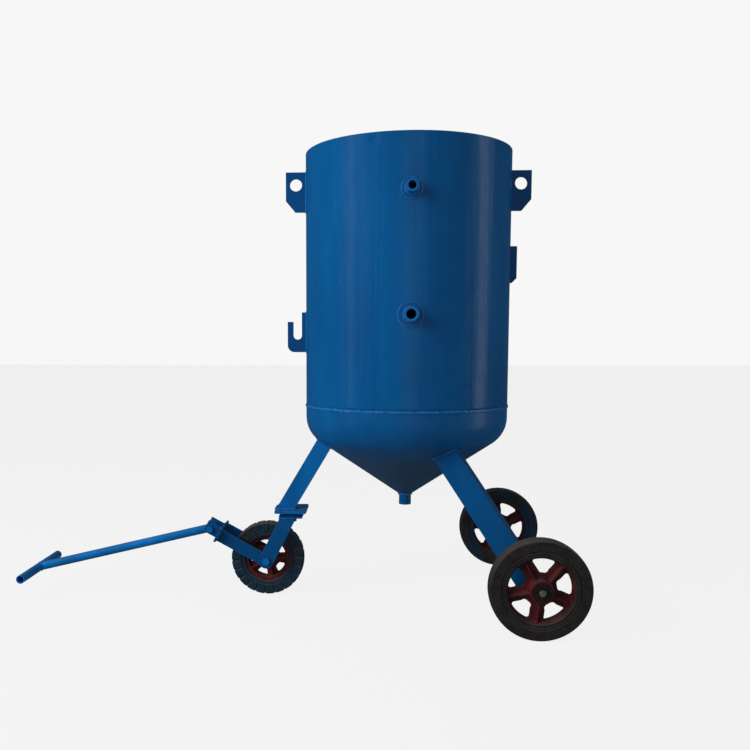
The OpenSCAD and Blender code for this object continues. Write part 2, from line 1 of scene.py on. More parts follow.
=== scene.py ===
"""A mobile blast pot in blue enamel: a tall pressure vessel on two cast-spoke wheels and a castor,
with a hinged tow bar. Metres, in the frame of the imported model."""

import math

import bmesh
import bpy
from mathutils import Euler, Matrix, Vector, noise
from mathutils.bvhtree import BVHTree

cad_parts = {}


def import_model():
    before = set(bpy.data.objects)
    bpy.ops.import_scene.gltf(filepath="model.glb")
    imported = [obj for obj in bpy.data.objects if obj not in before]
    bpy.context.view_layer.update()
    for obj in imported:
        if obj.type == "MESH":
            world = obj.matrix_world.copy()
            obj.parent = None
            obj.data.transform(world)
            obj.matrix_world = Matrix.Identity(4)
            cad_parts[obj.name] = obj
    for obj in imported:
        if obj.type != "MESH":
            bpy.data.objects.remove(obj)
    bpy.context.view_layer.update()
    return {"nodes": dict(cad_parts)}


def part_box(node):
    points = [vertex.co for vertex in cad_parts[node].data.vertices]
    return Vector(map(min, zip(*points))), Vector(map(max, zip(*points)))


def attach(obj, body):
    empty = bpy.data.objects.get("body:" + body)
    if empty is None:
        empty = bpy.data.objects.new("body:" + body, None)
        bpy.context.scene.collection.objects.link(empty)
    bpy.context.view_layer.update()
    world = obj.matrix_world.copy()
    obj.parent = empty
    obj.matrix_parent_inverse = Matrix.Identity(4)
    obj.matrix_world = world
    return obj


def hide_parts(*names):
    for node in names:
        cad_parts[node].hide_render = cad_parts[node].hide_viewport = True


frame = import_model()
nodes = frame["nodes"]
MM = 0.001
TURN = 2 * math.pi

# ---- Places, taken from the CAD nodes ----


def middle(node):
    """The middle of a CAD node's box."""
    low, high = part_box(node)
    return (low + high) / 2


def half_size(node, axis):
    """Half the size of a CAD node's box along an axis."""
    low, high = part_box(node)
    return (high[axis] - low[axis]) / 2


TANK = middle("shell")
TANK_R = half_size("shell", 1)
RIM_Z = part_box("shell")[1].z
WELD_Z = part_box("shell")[0].z
WALL = 6 * MM
JOIN_WITHIN = 0.02 * MM  # corners this close are one corner
BEAD_STEP = 1.3 * MM  # between the points of a weld bead's path
X, Y, Z = range(3)

# ---- Node materials ----


class Surface:
    """A Principled material whose colour, roughness and relief come from procedural textures."""

    def __init__(self, name, roughness=0.5, metallic=0.0, coat=0.0, coat_roughness=0.1, specular=0.5):
        self.material = bpy.data.materials.new(name)
        self.material.use_nodes = True
        self.tree = self.material.node_tree
        self.shader = self.tree.nodes["Principled BSDF"]
        self.shader.inputs["Roughness"].default_value = roughness
        self.shader.inputs["Metallic"].default_value = metallic
        self.shader.inputs["Coat Weight"].default_value = coat
        self.shader.inputs["Coat Roughness"].default_value = coat_roughness
        self.shader.inputs["Specular IOR Level"].default_value = specular
        self.place = self.add("ShaderNodeTexCoord").outputs["Object"]
        self.relief = None

    def add(self, kind, **settings):
        node = self.tree.nodes.new(kind)
        for name, value in settings.items():
            setattr(node, name, value)
        return node

    def link(self, source, target):
        self.tree.links.new(source, target)

    def noise(self, scale, detail=3.0, roughness=0.55, stretch=(1, 1, 1), offset=(0, 0, 0)):
        """A noise of about `scale` blotches a metre, drawn out along an axis where stretch is under 1."""
        mapping = self.add("ShaderNodeMapping")
        mapping.inputs["Scale"].default_value = stretch
        mapping.inputs["Location"].default_value = offset
        self.link(self.place, mapping.inputs["Vector"])
        texture = self.add("ShaderNodeTexNoise")
        texture.inputs["Scale"].default_value = scale
        texture.inputs["Detail"].default_value = detail
        texture.inputs["Roughness"].default_value = roughness
        self.link(mapping.outputs["Vector"], texture.inputs["Vector"])
        return texture.outputs["Fac"]

    def mask(self, value, low, high):
        """0 below low, 1 above high, and a ramp between."""
        ramp = self.add("ShaderNodeMapRange", clamp=True)
        ramp.inputs["From Min"].default_value = low
        ramp.inputs["From Max"].default_value = high
        self.link(value, ramp.inputs["Value"])
        return ramp.outputs["Result"]

    def span(self, value, low, high):
        """Maps 0..1 to low..high."""
        ramp = self.add("ShaderNodeMapRange", clamp=True)
        ramp.inputs["To Min"].default_value = low
        ramp.inputs["To Max"].default_value = high
        self.link(value, ramp.inputs["Value"])
        return ramp.outputs["Result"]

    def times(self, first, second):
        node = self.add("ShaderNodeMath", operation="MULTIPLY")
        self.link(first, node.inputs[0])
        if isinstance(second, (int, float)):
            node.inputs[1].default_value = second
        else:
            self.link(second, node.inputs[1])
        return node.outputs["Value"]

    def mix(self, factor, first, second):
        """Blends two colours, each a colour or the output of another node."""
        node = self.add("ShaderNodeMix", data_type="RGBA")
        self.link(factor, node.inputs["Factor"])
        for socket, colour in ((node.inputs["A"], first), (node.inputs["B"], second)):
            if isinstance(colour, tuple):
                socket.default_value = (*colour, 1)
            else:
                self.link(colour, socket)
        return node.outputs["Result"]

    def up(self):
        """How far the surface faces up, from -1 to 1."""
        split = self.add("ShaderNodeSeparateXYZ")
        self.link(self.add("ShaderNodeNewGeometry").outputs["Normal"], split.inputs["Vector"])
        return split.outputs["Z"]

    def along(self, axis):
        """The place along X, Y or Z, in metres."""
        split = self.add("ShaderNodeSeparateXYZ")
        self.link(self.place, split.inputs["Vector"])
        return split.outputs[axis]

    def edges(self, radius):
        """1 within about that distance of an edge or a corner, and 0 on open faces."""
        rounded = self.add("ShaderNodeBevel", samples=4)
        rounded.inputs["Radius"].default_value = radius
        dot = self.add("ShaderNodeVectorMath", operation="DOT_PRODUCT")
        self.link(rounded.outputs["Normal"], dot.inputs[0])
        self.link(self.add("ShaderNodeNewGeometry").outputs["Normal"], dot.inputs[1])
        ramp = self.add("ShaderNodeMapRange", clamp=True)
        ramp.inputs["From Min"].default_value = 0.995
        ramp.inputs["From Max"].default_value = 0.90
        self.link(dot.outputs["Value"], ramp.inputs["Value"])
        return ramp.outputs["Result"]

    def colour(self, value):
        self.link(value, self.shader.inputs["Base Color"])

    def rough(self, value):
        self.link(value, self.shader.inputs["Roughness"])

    def raise_by(self, height, distance):
        """Adds relief of that many metres."""
        bump = self.add("ShaderNodeBump")
        bump.inputs["Distance"].default_value = distance
        bump.inputs["Strength"].default_value = 1.0
        self.link(height, bump.inputs["Height"])
        if self.relief is not None:
            self.link(self.relief, bump.inputs["Normal"])
        self.relief = bump.outputs["Normal"]
        self.link(self.relief, self.shader.inputs["Normal"])


BLUE = (0.000, 0.150, 0.450)
BLUE_DEEP = (0.000, 0.118, 0.370)
BLUE_DARK = (0.000, 0.092, 0.300)
# A brighter blue that stands for the same paint in stronger light: painted light.
BLUE_PAINTED_LIGHT = (0.000, 0.270, 0.820)
BLUE_PALE = (0.030, 0.260, 0.700)
DUST = (0.200, 0.180, 0.155)
BROWN = (0.060, 0.045, 0.038)
RUST = (0.100, 0.038, 0.016)
SOOT = (0.012, 0.011, 0.011)


def enamel(name, light, dark, waves=0.0, edge_highlight_and_wear=0.0):
    """Sprayed gloss enamel on plate, with painted reflection bands down it and painted edge highlights."""
    paint = Surface(name, coat=0.22, coat_roughness=0.09, specular=0.32)
    tone = paint.mix(paint.mask(paint.noise(5, stretch=(1, 1, 0.35)), 0.35, 0.65), dark, light)
    # Dark vertical bands in the colour: a painted reflection of dark and bright things round about.
    painted_reflection_bands = paint.mask(paint.noise(38, detail=4, stretch=(1, 1, 0.05)), 0.45, 0.75)
    tone = paint.mix(paint.span(painted_reflection_bands, 0.0, 0.2), tone, dark)
    runs = paint.mask(paint.noise(120, detail=2, stretch=(1, 1, 0.12), offset=(2, 5, 1)), 0.68, 0.78)
    tone = paint.mix(paint.times(runs, 0.25), tone, BLUE_PALE)
    specks = paint.mask(paint.noise(420, detail=3, offset=(7, 1, 3)), 0.73, 0.77)
    tone = paint.mix(paint.times(specks, 0.5), tone, BROWN)
    # When set, paler blue along every edge is a painted highlight, and the rust chips on the edges are real
    # wear.
    if edge_highlight_and_wear:
        painted_edge_highlight = paint.times(paint.edges(1.6 * MM), edge_highlight_and_wear)
        tone = paint.mix(painted_edge_highlight, tone, BLUE_PALE)
        chipped = paint.times(paint.edges(1.0 * MM), paint.mask(paint.noise(90, detail=5), 0.60, 0.64))
        tone = paint.mix(chipped, tone, RUST)
    dusty = paint.times(paint.mask(paint.up(), 0.35, 0.95), paint.span(paint.noise(60), 0.05, 0.30))
    paint.colour(paint.mix(dusty, tone, DUST))
    paint.rough(paint.span(paint.mask(paint.noise(24, detail=5), 0.3, 0.7), 0.26, 0.42))
    if waves:
        paint.raise_by(paint.noise(16, detail=1.5, stretch=(1, 1, 0.05)), 0.9 * MM * waves)
        paint.raise_by(paint.noise(48, detail=2, stretch=(1, 1, 0.03), offset=(4, 4, 0)), 0.3 * MM * waves)
    paint.raise_by(paint.noise(30, detail=2), 0.14 * MM)
    paint.raise_by(paint.noise(700, detail=2), 0.025 * MM)
    return paint.material


def cone_enamel():
    """The bottom head's enamel: plain above, greyer and darker in patches on the cone below its knuckle."""
    paint = Surface("cone_enamel", coat=0.2, coat_roughness=0.2, specular=0.4)
    tone = paint.mix(paint.mask(paint.noise(6), 0.35, 0.65), BLUE_DEEP, BLUE)
    # Greyer and darker in noisy patches towards the bottom of the cone.
    low = paint.add("ShaderNodeMapRange", clamp=True)
    low.inputs["From Min"].default_value = WELD_Z - 0.110
    low.inputs["From Max"].default_value = WELD_Z - 0.190
    paint.link(paint.along("Z"), low.inputs["Value"])
    lower_greying = paint.times(low.outputs["Result"], paint.span(paint.noise(14, detail=5), 0.45, 0.85))
    tone = paint.mix(lower_greying, tone, (0.070, 0.078, 0.092))
    specks = paint.mask(paint.noise(380, detail=3), 0.70, 0.76)
    paint.colour(paint.mix(paint.times(specks, 0.4), tone, BROWN))
    paint.rough(paint.span(paint.mask(paint.noise(24, detail=5), 0.3, 0.7), 0.30, 0.50))
    paint.raise_by(paint.noise(9, detail=2), 0.8 * MM)
    paint.raise_by(paint.noise(500, detail=3), 0.04 * MM)
    return paint.material


def weld_metal():
    """A bead under the same enamel, paler on its ripples."""
    paint = Surface("weld_bead", coat=0.5, coat_roughness=0.12)
    tone = paint.mix(paint.mask(paint.noise(90, detail=4), 0.35, 0.7), BLUE, BLUE_PALE)
    paint.colour(paint.mix(paint.mask(paint.noise(220, detail=4), 0.68, 0.74), tone, BROWN))
    paint.rough(paint.span(paint.noise(200), 0.2, 0.42))
    paint.raise_by(paint.noise(420, detail=3), 0.25 * MM)
    return paint.material


def cast_paint():
    """Thin maroon paint on a rough casting, paler on its edges as a painted highlight, and dusty on top."""
    paint = Surface("casting", specular=0.35)
    blotches = paint.mask(paint.noise(26, detail=5), 0.35, 0.68)
    tone = paint.mix(blotches, (0.085, 0.013, 0.014), (0.170, 0.022, 0.024))
    tone = paint.mix(paint.mask(paint.noise(140, detail=6), 0.60, 0.70), tone, SOOT)
    # Paler maroon in patches along the edges: a painted highlight.
    tone = paint.mix(paint.times(paint.edges(2 * MM), paint.noise(60, detail=4)), tone, (0.23, 0.07, 0.065))
    dusty = paint.times(paint.mask(paint.up(), 0.3, 1.0), paint.span(paint.noise(70), 0.1, 0.4))
    paint.colour(paint.mix(dusty, tone, DUST))
    paint.rough(paint.span(paint.noise(60, detail=5), 0.42, 0.75))
    paint.raise_by(paint.noise(650, detail=4, roughness=0.7), 0.18 * MM)
    paint.raise_by(paint.noise(70, detail=2), 0.30 * MM)
    return paint.material


def tyre_rubber(name, overspray, dust=0.5, tint=(0.052, 0.041, 0.037)):
    """Dusty black rubber, with as much blue overspray as asked for on the sidewalls."""
    rubber = Surface(name, specular=0.3)
    tone = rubber.mix(rubber.mask(rubber.noise(34, detail=5), 0.3, 0.75), (0.024, 0.021, 0.020), tint)
    scuffs = rubber.times(rubber.mask(rubber.noise(150, detail=6, roughness=0.7), 0.60, 0.68), dust)
    tone = rubber.mix(scuffs, tone, (0.11, 0.098, 0.085))
    if overspray:
        shift = 0.3 * overspray
        patches = rubber.mask(rubber.noise(16, detail=4, offset=(3, 1, 4)), 0.60 - shift, 0.75 - shift)
        speckle = rubber.span(rubber.noise(190, detail=5), 0.25, 1.0)
        tone = rubber.mix(rubber.times(patches, speckle), tone, (0.004, 0.052, 0.105))
    settled = rubber.mask(rubber.up(), 0.05, 1.0)
    dusty = rubber.times(settled, rubber.span(rubber.noise(80, detail=4), 0.3, 0.9))
    rubber.colour(rubber.mix(rubber.times(dusty, dust), tone, (0.20, 0.165, 0.13)))
    rubber.rough(rubber.span(rubber.noise(50, detail=4), 0.5, 0.82))
    rubber.raise_by(rubber.noise(900, detail=3), 0.06 * MM)
    rubber.raise_by(rubber.noise(120, detail=4), 0.12 * MM)
    return rubber.material


def steel(name, bright, dull, rust, lines=False):
    """Bare steel with a share of rust, which also dulls it, turned where lines is true."""
    metal = Surface(name, metallic=0.55)
    tone = metal.mix(metal.mask(metal.noise(60, detail=5), 0.35, 0.7), dull, bright)
    spots = metal.mask(metal.noise(110, detail=6, roughness=0.65), 0.68 - 0.3 * rust, 0.76 - 0.3 * rust)
    metal.colour(metal.mix(metal.times(spots, 0.85), tone, RUST))
    metal.rough(metal.span(metal.noise(90, detail=4), 0.27 + 0.35 * rust, 0.55 + 0.35 * rust))
    if lines:
        metal.raise_by(metal.noise(500, detail=1, stretch=(0.02, 1, 0.02)), 0.05 * MM)
    metal.raise_by(metal.noise(400, detail=4), 0.08 * MM)
    return metal.material


def seal_rubber():
    rubber = Surface("seal_rubber", specular=0.3)
    rubber.colour(rubber.mix(rubber.noise(80, detail=4), (0.012, 0.012, 0.012), (0.04, 0.038, 0.035)))
    rubber.rough(rubber.span(rubber.noise(60), 0.5, 0.8))
    rubber.raise_by(rubber.noise(600, detail=3), 0.08 * MM)
    return rubber.material


def scoured_enamel():
    """The filling head: the same enamel, scoured dull by abrasive and dusty in its bowl."""
    paint = Surface("scoured_enamel", specular=0.35)
    tone = paint.mix(paint.mask(paint.noise(9, detail=4), 0.35, 0.65), BLUE_DEEP, BLUE)
    worn = paint.mask(paint.noise(45, detail=6, roughness=0.7), 0.60, 0.68)
    tone = paint.mix(paint.times(worn, 0.6), tone, (0.10, 0.09, 0.085))
    dusty = paint.times(paint.mask(paint.up(), 0.4, 1.0), paint.span(paint.noise(25, detail=6), 0.15, 0.8))
    paint.colour(paint.mix(dusty, tone, (0.20, 0.185, 0.16)))
    paint.rough(paint.span(paint.noise(40, detail=5), 0.4, 0.75))
    paint.raise_by(paint.noise(900, detail=4), 0.12 * MM)
    return paint.material


MATERIALS = {
    "wall_enamel": enamel("wall_enamel", BLUE, BLUE_DEEP, waves=5.0),
    "cone_enamel": cone_enamel(),
    # The rear legs' enamel is a darker copy of the same blue paint: painted shade.
    "legs_painted_shade_enamel": enamel("legs_painted_shade_enamel", BLUE_DEEP, BLUE_DARK, waves=0.1, edge_highlight_and_wear=0.7),
    # The same enamel made brighter for parts that look more strongly lit: painted light.
    "painted_light_enamel": enamel("painted_light_enamel", BLUE_PAINTED_LIGHT, BLUE, waves=0.1, edge_highlight_and_wear=0.6),
    "plate_enamel": enamel("plate_enamel", BLUE_DEEP, BLUE_DARK, waves=0.1, edge_highlight_and_wear=0.8),
    "scoured": scoured_enamel(),
    "weld": weld_metal(),
    "casting": cast_paint(),
    "near_tyre": tyre_rubber("near_tyre", overspray=0.0, dust=0.9),
    "far_tyre": tyre_rubber("far_tyre", overspray=0.6),
    "front_tyre": tyre_rubber("front_tyre", overspray=0.8, dust=1.0),
    "axle_steel": steel("axle_steel", (0.42, 0.38, 0.33), (0.20, 0.18, 0.16), rust=0.15, lines=True),
    "greasy_steel": steel("greasy_steel", (0.075, 0.052, 0.040), (0.028, 0.020, 0.016), rust=0.4),
    "bolt_steel": steel("bolt_steel", (0.30, 0.29, 0.27), (0.12, 0.12, 0.12), rust=0.25),
    "pipe_steel": steel("pipe_steel", (0.16, 0.15, 0.14), (0.07, 0.065, 0.06), rust=0.5),
    "scale_steel": steel("scale_steel", (0.30, 0.27, 0.24), (0.14, 0.12, 0.11), rust=0.55),
    "seal": seal_rubber(),
}

FINISHES = {
    "cone_enamel": ["bottom_head"],
    "wall_enamel": ["shell"],
    "weld": ["girth_weld"],
    "scoured": ["top_head", "port_ring"],
    "plate_enamel": [
        "upper_socket_pad", "lower_socket_pad", "outlet_pipe", "lug_left", "lug_right", "hose_hook",
        "pipe_bracket", "thrust_bearing", "fork_crown", "fork_leg_left", "fork_leg_right",
        "drawbar_arm_left", "drawbar_arm_right", "hitch_plate", "clevis_cheeks",
    ],
    # The rear legs take the darker enamel, which is painted shade.
    "legs_painted_shade_enamel": ["rear_leg_left", "rear_leg_right"],
    # These parts take the brighter enamel, which is painted light.
    "painted_light_enamel": [
        "front_leg", "castor_plate", "tow_tube", "tow_handle", "tow_eye", "upper_socket", "lower_socket",
        "axle_bolt", "axle_nut", "hinge_bolt", "hinge_nut",
    ],
    "casting": ["front_rim", "rear_rim_left", "rear_rim_right"],
    "near_tyre": ["rear_tyre_left"],
    "far_tyre": ["rear_tyre_right"],
    "front_tyre": ["front_tyre"],
    "axle_steel": ["rear_axle", "axle_sleeve", "axle_spacers", "popup_stem"],
    "greasy_steel": [
        "axle_washers", "axle_rings", "front_bearings", "rear_bearings_left", "rear_bearings_right",
    ],
    "bolt_steel": ["kingpin", "kingpin_washer", "kingpin_nut"],
    "pipe_steel": ["inlet_pipe", "inlet_elbow", "riser_pipe"],
    "scale_steel": ["rear_foot_plates"],
    "seal": ["port_seal", "popup_cone"],
}


def finish_with(piece, finish):
    piece.data.materials.clear()
    piece.data.materials.append(MATERIALS[finish])


for finish, names in FINISHES.items():
    for name in names:
        finish_with(nodes[name], finish)

# ---- Broken edges on the plates, tubes and bolts that are shown as the CAD has them ----

BROKEN_EDGES = {
    1.0 * MM: [
        "lug_left", "lug_right", "hose_hook", "pipe_bracket", "castor_plate", "fork_crown", "fork_leg_left",
        "fork_leg_right", "drawbar_arm_left", "drawbar_arm_right", "hitch_plate", "clevis_cheeks",
        "rear_foot_plates", "axle_bolt", "axle_nut", "hinge_bolt", "hinge_nut", "kingpin_nut",
    ],
    2.5 * MM: ["front_leg", "rear_leg_left", "rear_leg_right"],
    0.6 * MM: ["upper_socket", "lower_socket", "outlet_pipe", "axle_washers", "tow_handle", "popup_cone"],
}


def break_edges(node, width):
    """Joins the split corners of a CAD mesh and rounds its sharp edges by that width."""
    piece = nodes[node]
    join = piece.modifiers.new("join", "WELD")
    join.merge_threshold = JOIN_WITHIN
    flat = piece.modifiers.new("whole_faces", "DECIMATE")
    flat.decimate_type = "DISSOLVE"
    flat.angle_limit = math.radians(0.5)
    bevel = piece.modifiers.new("broken_edges", "BEVEL")
    bevel.width = width
    bevel.segments = 3
    bevel.limit_method = "ANGLE"
    bevel.angle_limit = math.radians(32)
    piece.modifiers.new("even_shading", "WEIGHTED_NORMAL")


for width, names in BROKEN_EDGES.items():
    for name in names:
        break_edges(name, width)

# ---- Meshes ----


def new_piece(name, points, faces, body, finish, replaces=()):
    """A smooth-shaded mesh that rides on a body."""
    mesh = bpy.data.meshes.new(name)
    mesh.from_pydata(points, [], faces)
    mesh.shade_smooth()
    piece = bpy.data.objects.new(name, mesh)
    bpy.context.scene.collection.objects.link(piece)
    finish_with(piece, finish)
    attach(piece, body)
    if replaces:
        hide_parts(*replaces)
    return piece


def grid_faces(rows, columns, start=0):
    """Quads over rows of points, closed both ways, as on a torus."""
    faces = []
    for i in range(rows):
        for j in range(columns):
            a = start + i * columns + j
            b = start + i * columns + (j + 1) % columns
            c = start + (i + 1) % rows * columns + (j + 1) % columns
            d = start + (i + 1) % rows * columns + j
            faces.append((a, b, c, d))
    return faces


def arc(centre_r, centre_h, radius, start, end, steps):
    """Points (r, h) along an arc, in degrees from the r axis towards h."""
    points = []
    for i in range(steps + 1):
        angle = math.radians(start + (end - start) * i / steps)
        points.append((centre_r + radius * math.cos(angle), centre_h + radius * math.sin(angle)))
    return points


def line(start, end, steps):
    """Points from start up to, but without, end."""
    return [tuple(a + (b - a) * i / steps for a, b in zip(start, end)) for i in range(steps)]


def applied(piece):
    """The mesh that a piece has after its modifiers."""
    bpy.context.view_layer.update()
    shown = piece.evaluated_get(bpy.context.evaluated_depsgraph_get())
    return bpy.data.meshes.new_from_object(shown)


# ---- The shell ----


def shell_ripple(turn, height):
    """How far the rolled plate stands in or out, with the dent under the rim."""
    wave = noise.noise(Vector((2.2 * math.cos(turn), 2.2 * math.sin(turn), height * 1.3)))
    streak = noise.noise(Vector((9 * math.cos(turn), 9 * math.sin(turn), height * 0.8 + 20)))
    dent_turn = math.radians(-109)
    dent_z = RIM_Z - 0.024
    side = (turn - dent_turn) * TANK_R
    drop = dent_z - height
    dent = math.exp(-((side / 0.016) ** 2) - (drop / 0.011) ** 2)
    ridge = math.exp(-(((side - 0.020) / 0.010) ** 2) - ((drop + 0.006) / 0.007) ** 2)
    return 0.7 * MM * wave + 0.16 * MM * streak - 3.0 * MM * dent + 1.2 * MM * ridge


def shell_wall():
    """A rolled plate with its own slight waves, round lips, and a hole behind each socket."""
    turns = 480
    lip = 1.2 * MM
    inner = TANK_R - WALL
    dented_z = RIM_Z - 0.08
    outline = line((TANK_R, WELD_Z), (TANK_R, dented_z), 60)
    outline += line((TANK_R, dented_z), (TANK_R, RIM_Z - lip), 26)
    outline += arc(TANK_R - lip, RIM_Z - lip, lip, 0, 90, 3)
    outline += arc(inner + lip, RIM_Z - lip, lip, 90, 180, 3)
    outline += line((inner, RIM_Z - 2 * lip), (inner, WELD_Z), 30)
    outline += [(inner, WELD_Z)]
    points = []
    for radius, height in outline:
        for j in range(turns):
            turn = TURN * j / turns - math.pi
            at = radius + shell_ripple(turn, height)
            points.append((TANK.x + at * math.cos(turn), TANK.y + at * math.sin(turn), height))
    faces = grid_faces(len(outline), turns)
    piece = new_piece("shell_wall", points, faces, "pot", "wall_enamel", ["shell"])
    for socket, hole_r in (("upper_socket", 13.1 * MM), ("lower_socket", 16.1 * MM)):
        drill(piece, middle(socket).z, hole_r)
    return piece


def drill(piece, height, radius):
    """A hole through the near wall along Y."""
    bm = bmesh.new()
    where = Matrix.Translation((TANK.x, TANK.y - TANK_R, height)) @ Matrix.Rotation(math.pi / 2, 4, "X")
    bmesh.ops.create_cone(
        bm, cap_ends=True, segments=48, radius1=radius, radius2=radius, depth=0.06, matrix=where,
    )
    mesh = bpy.data.meshes.new("drill")
    bm.to_mesh(mesh)
    bm.free()
    cutter = bpy.data.objects.new("drill", mesh)
    bpy.context.scene.collection.objects.link(cutter)
    cut = piece.modifiers.new("hole", "BOOLEAN")
    cut.object = cutter
    cut.solver = "EXACT"
    drilled = applied(piece)
    piece.modifiers.clear()
    piece.data = drilled
    bpy.data.objects.remove(cutter)


shell_wall()

# ---- Welds ----


def surface_of(node):
    """A CAD node's mesh as a search tree."""
    mesh = nodes[node].data
    return BVHTree.FromPolygons([v.co for v in mesh.vertices], [list(p.vertices) for p in mesh.polygons])


def seams(node, target):
    """The closed outlines of the faces with which one CAD node sits on another, outermost only."""
    touch = 0.5 * MM
    tree = surface_of(target)
    bm = bmesh.new()
    bm.from_mesh(nodes[node].data)
    bmesh.ops.remove_doubles(bm, verts=bm.verts, dist=JOIN_WITHIN)
    bm.normal_update()
    seated = set()
    for face in bm.faces:
        place, normal, _, gap = tree.find_nearest(face.calc_center_median())
        if gap < touch and face.normal.dot(normal) < -0.6:
            if all(tree.find_nearest(v.co)[3] < touch for v in face.verts):
                seated.add(face)
    links = {}
    for edge in bm.edges:
        if sum(face in seated for face in edge.link_faces) == 1:
            for a, b in (edge.verts, reversed(edge.verts)):
                links.setdefault(a, []).append(b)
    loops = []
    while links:
        start = next(iter(links))
        loop = [start]
        at = start
        while links.get(at):
            step = links[at].pop()
            if step in links and at in links[step]:
                links[step].remove(at)
            at = step
            if at is start:
                break
            loop.append(at)
        links = {v: ends for v, ends in links.items() if ends}
        if len(loop) > 3:
            loops.append([v.co.copy() for v in loop])
    bm.free()
    loops.sort(key=loop_length, reverse=True)
    kept = []
    for loop in loops:
        centre = sum(loop, Vector()) / len(loop)
        if all((centre - sum(k, Vector()) / len(k)).length > 0.012 for k in kept):
            kept.append(loop)
    return kept


def loop_length(loop):
    return sum((a - b).length for a, b in zip(loop, loop[1:] + loop[:1]))


def evenly(loop, step):
    """The closed loop at an even step, with its corners rounded by a few passes of averaging."""
    passes = 3
    total = loop_length(loop)
    count = max(12, round(total / step))
    points = []
    walked = 0.0
    index = 0
    for k in range(count):
        want = total * k / count
        while True:
            a, b = loop[index], loop[(index + 1) % len(loop)]
            length = (b - a).length
            if walked + length >= want or index == len(loop) - 1:
                break
            walked += length
            index += 1
        points.append(a.lerp(b, (want - walked) / length if length else 0))
    for _ in range(passes):
        points = [(points[i - 1] + 2 * p + points[(i + 1) % count]) / 4 for i, p in enumerate(points)]
    return points


class Beads:
    """Weld beads that are gathered into one piece per body."""

    def __init__(self):
        self.points = []
        self.faces = []

    def run(self, path, ups, radius, flat=0.8, rough=0.22, sides=8):
        """A rippled bead along a closed path. ups are the surface's normals, flat its height to width."""
        pitch = 3.4 * MM
        count = len(path)
        start = len(self.points)
        walked = 0.0
        for i, place in enumerate(path):
            ahead = path[(i + 1) % count]
            along = (ahead - path[i - 1]).normalized()
            across = along.cross(ups[i]).normalized()
            up = across.cross(along)
            ripple = abs(math.sin(math.pi * walked / pitch))
            uneven = noise.noise(place * 90) + 0.6 * noise.noise(place * 260)
            size = radius * (0.92 + 0.14 * ripple + rough * uneven)
            sway = across * radius * 0.25 * noise.noise(place * 60 + Vector((5, 0, 0)))
            for k in range(sides):
                angle = TURN * k / sides
                at = place + sway + size * (math.cos(angle) * across + flat * math.sin(angle) * up)
                self.points.append(tuple(at))
            walked += (ahead - place).length
        self.faces += grid_faces(count, sides, start)

    def between(self, node, target, radius=4 * MM):
        """Beads where one CAD node stands on another."""
        tree = surface_of(target)
        found = seams(node, target)
        if not found:
            raise ValueError(f"{node} doesn't touch {target}")
        for loop in found:
            path = evenly(loop, BEAD_STEP)
            ups = [tree.find_nearest(p)[1] for p in path]
            self.run(path, ups, radius)

    def on_pad(self, pad, socket):
        """A bead round a socket, on the curved face of its pad."""
        ring_r = half_size(socket, X) + 1 * MM
        height = middle(socket).z
        pad_r = TANK_R + 4 * MM
        count = round(TURN * ring_r / BEAD_STEP)
        path = []
        ups = []
        for i in range(count):
            turn = TURN * i / count
            x = ring_r * math.cos(turn)
            depth = math.sqrt(pad_r**2 - x**2)
            path.append(Vector((TANK.x + x, TANK.y - depth, height + ring_r * math.sin(turn))))
            ups.append(Vector((x, -depth, 0)).normalized())
        self.run(path, ups, 3.5 * MM)

    def piece(self, name, body):
        return new_piece(name, self.points, self.faces, body, "weld")


def pot_welds():
    beads = Beads()
    for node in ("lug_left", "lug_right", "hose_hook", "pipe_bracket"):
        beads.between(node, "shell")
    for side in ("upper", "lower"):
        beads.between(side + "_socket_pad", "shell", radius=3.2 * MM)
        beads.on_pad(side + "_socket_pad", side + "_socket")
    for node in ("front_leg", "rear_leg_left", "rear_leg_right", "outlet_pipe"):
        beads.between(node, "bottom_head", radius=4.5 * MM)
    beads.between("front_leg", "castor_plate", radius=5 * MM)
    beads.piece("welds_pot", "pot")


def castor_welds():
    beads = Beads()
    for side in ("left", "right"):
        beads.between("fork_leg_" + side, "fork_crown")
        beads.between("drawbar_arm_" + side, "hitch_plate", radius=3.5 * MM)
    beads.between("thrust_bearing", "fork_crown", radius=3 * MM)
    beads.between("clevis_cheeks", "hitch_plate", radius=3.5 * MM)
    beads.piece("welds_castor", "castor")


def tow_bar_welds():
    beads = Beads()
    beads.between("tow_tube", "tow_eye", radius=3 * MM)
    beads.between("tow_tube", "tow_handle", radius=3 * MM)
    beads.piece("welds_tow_bar", "tow_bar")


def girth_bead():
    """The uneven bead round the vessel where the bottom head joins it."""
    count = 1100
    path = []
    ups = []
    for i in range(count):
        turn = TURN * i / count
        up = Vector((math.cos(turn), math.sin(turn), 0))
        wander = 0.8 * MM * noise.noise(up * 9)
        path.append(Vector((TANK.x, TANK.y, WELD_Z + wander)) + up * TANK_R)
        ups.append(up)
    beads = Beads()
    beads.run(path, ups, 5.2 * MM, flat=0.5, rough=0.3, sides=10)
    piece = beads.piece("girth_bead", "pot")
    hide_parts("girth_weld")


pot_welds()
castor_welds()
tow_bar_welds()
girth_bead()

# ---- Wheels ----


class Wheel:
    """A wheel's place and sizes. Its own axis is Z, which lies along -Y."""

    def __init__(self, name, rim, tyre, body, finish):
        self.name = name
        self.rim = rim
        self.tyre = tyre
        self.body = body
        self.finish = finish
        self.centre = middle(tyre)
        self.outer_r = half_size(tyre, Z)
        self.half_w = half_size(tyre, Y)

    def place(self, x, y, z):
        """A point of the wheel's own frame, in the model's frame."""
        return (self.centre.x + x, self.centre.y - z, self.centre.z + y)


